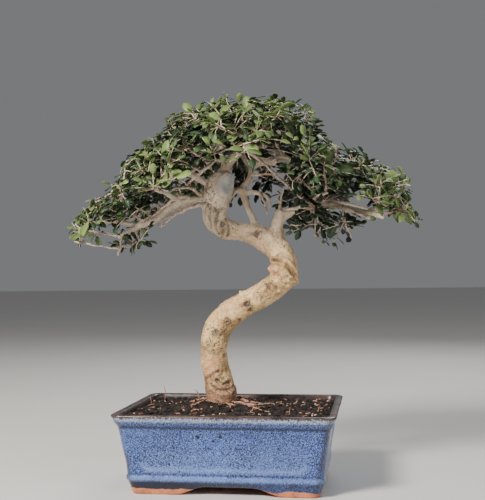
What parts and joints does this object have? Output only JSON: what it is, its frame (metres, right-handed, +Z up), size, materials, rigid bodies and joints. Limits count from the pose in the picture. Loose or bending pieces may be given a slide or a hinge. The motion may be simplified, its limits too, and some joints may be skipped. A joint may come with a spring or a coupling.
{
  "type": "chinese elm bonsai",
  "caption": "Potted elm bonsai: a sinuous trunk with spreading limbs and small-leaved sprays, rooted in soil in a rectangular blue-glazed footed pot.",
  "frame": {"origin": "bottom centre of the whole plant's box, at the height of the surface that the pot's feet stand on", "axes": "+Z up along the tree, +X to the right along the pot's long side as pictured, +Y to the back"},
  "size_m": [0.351, 0.2125, 0.3723],
  "materials": {
    "glaze": "speckled mid-blue glaze, dark at the rim, bare orange clay at the feet",
    "soil": "loose dark potting soil with pale grains",
    "bark": "pale smooth elm bark, tan with brown and grey-green flecks",
    "foliage": "satin green leaves on thin beige-brown twigs",
    "screen": "black plastic mesh"
  },
  "bodies": {
    "root": {"drainage_screen_left": "screen", "drainage_screen_right": "screen", "pot": "glaze", "soil": "soil", "spray_01": "foliage", "spray_02": "foliage", "spray_03": "foliage", "spray_04": "foliage", "spray_05": "foliage", "spray_06": "foliage", "spray_07": "foliage", "spray_08": "foliage", "spray_09": "foliage", "spray_10": "foliage", "spray_11": "foliage", "spray_12": "foliage", "spray_13": "foliage", "spray_14": "foliage", "spray_15": "foliage", "spray_16": "foliage", "spray_17": "foliage", "spray_18": "foliage", "spray_19": "foliage", "spray_20": "foliage", "spray_21": "foliage", "spray_22": "foliage", "spray_23": "foliage", "spray_24": "foliage", "spray_25": "foliage", "spray_26": "foliage", "spray_27": "foliage", "spray_28": "foliage", "spray_29": "foliage", "spray_30": "foliage", "spray_31": "foliage", "spray_32": "foliage", "spray_33": "foliage", "spray_34": "foliage", "spray_35": "foliage", "spray_36": "foliage", "spray_37": "foliage", "spray_38": "foliage", "spray_39": "foliage", "spray_40": "foliage", "spray_41": "foliage", "spray_42": "foliage", "spray_43": "foliage", "trunk": "bark"}
  },
  "joints": []
}
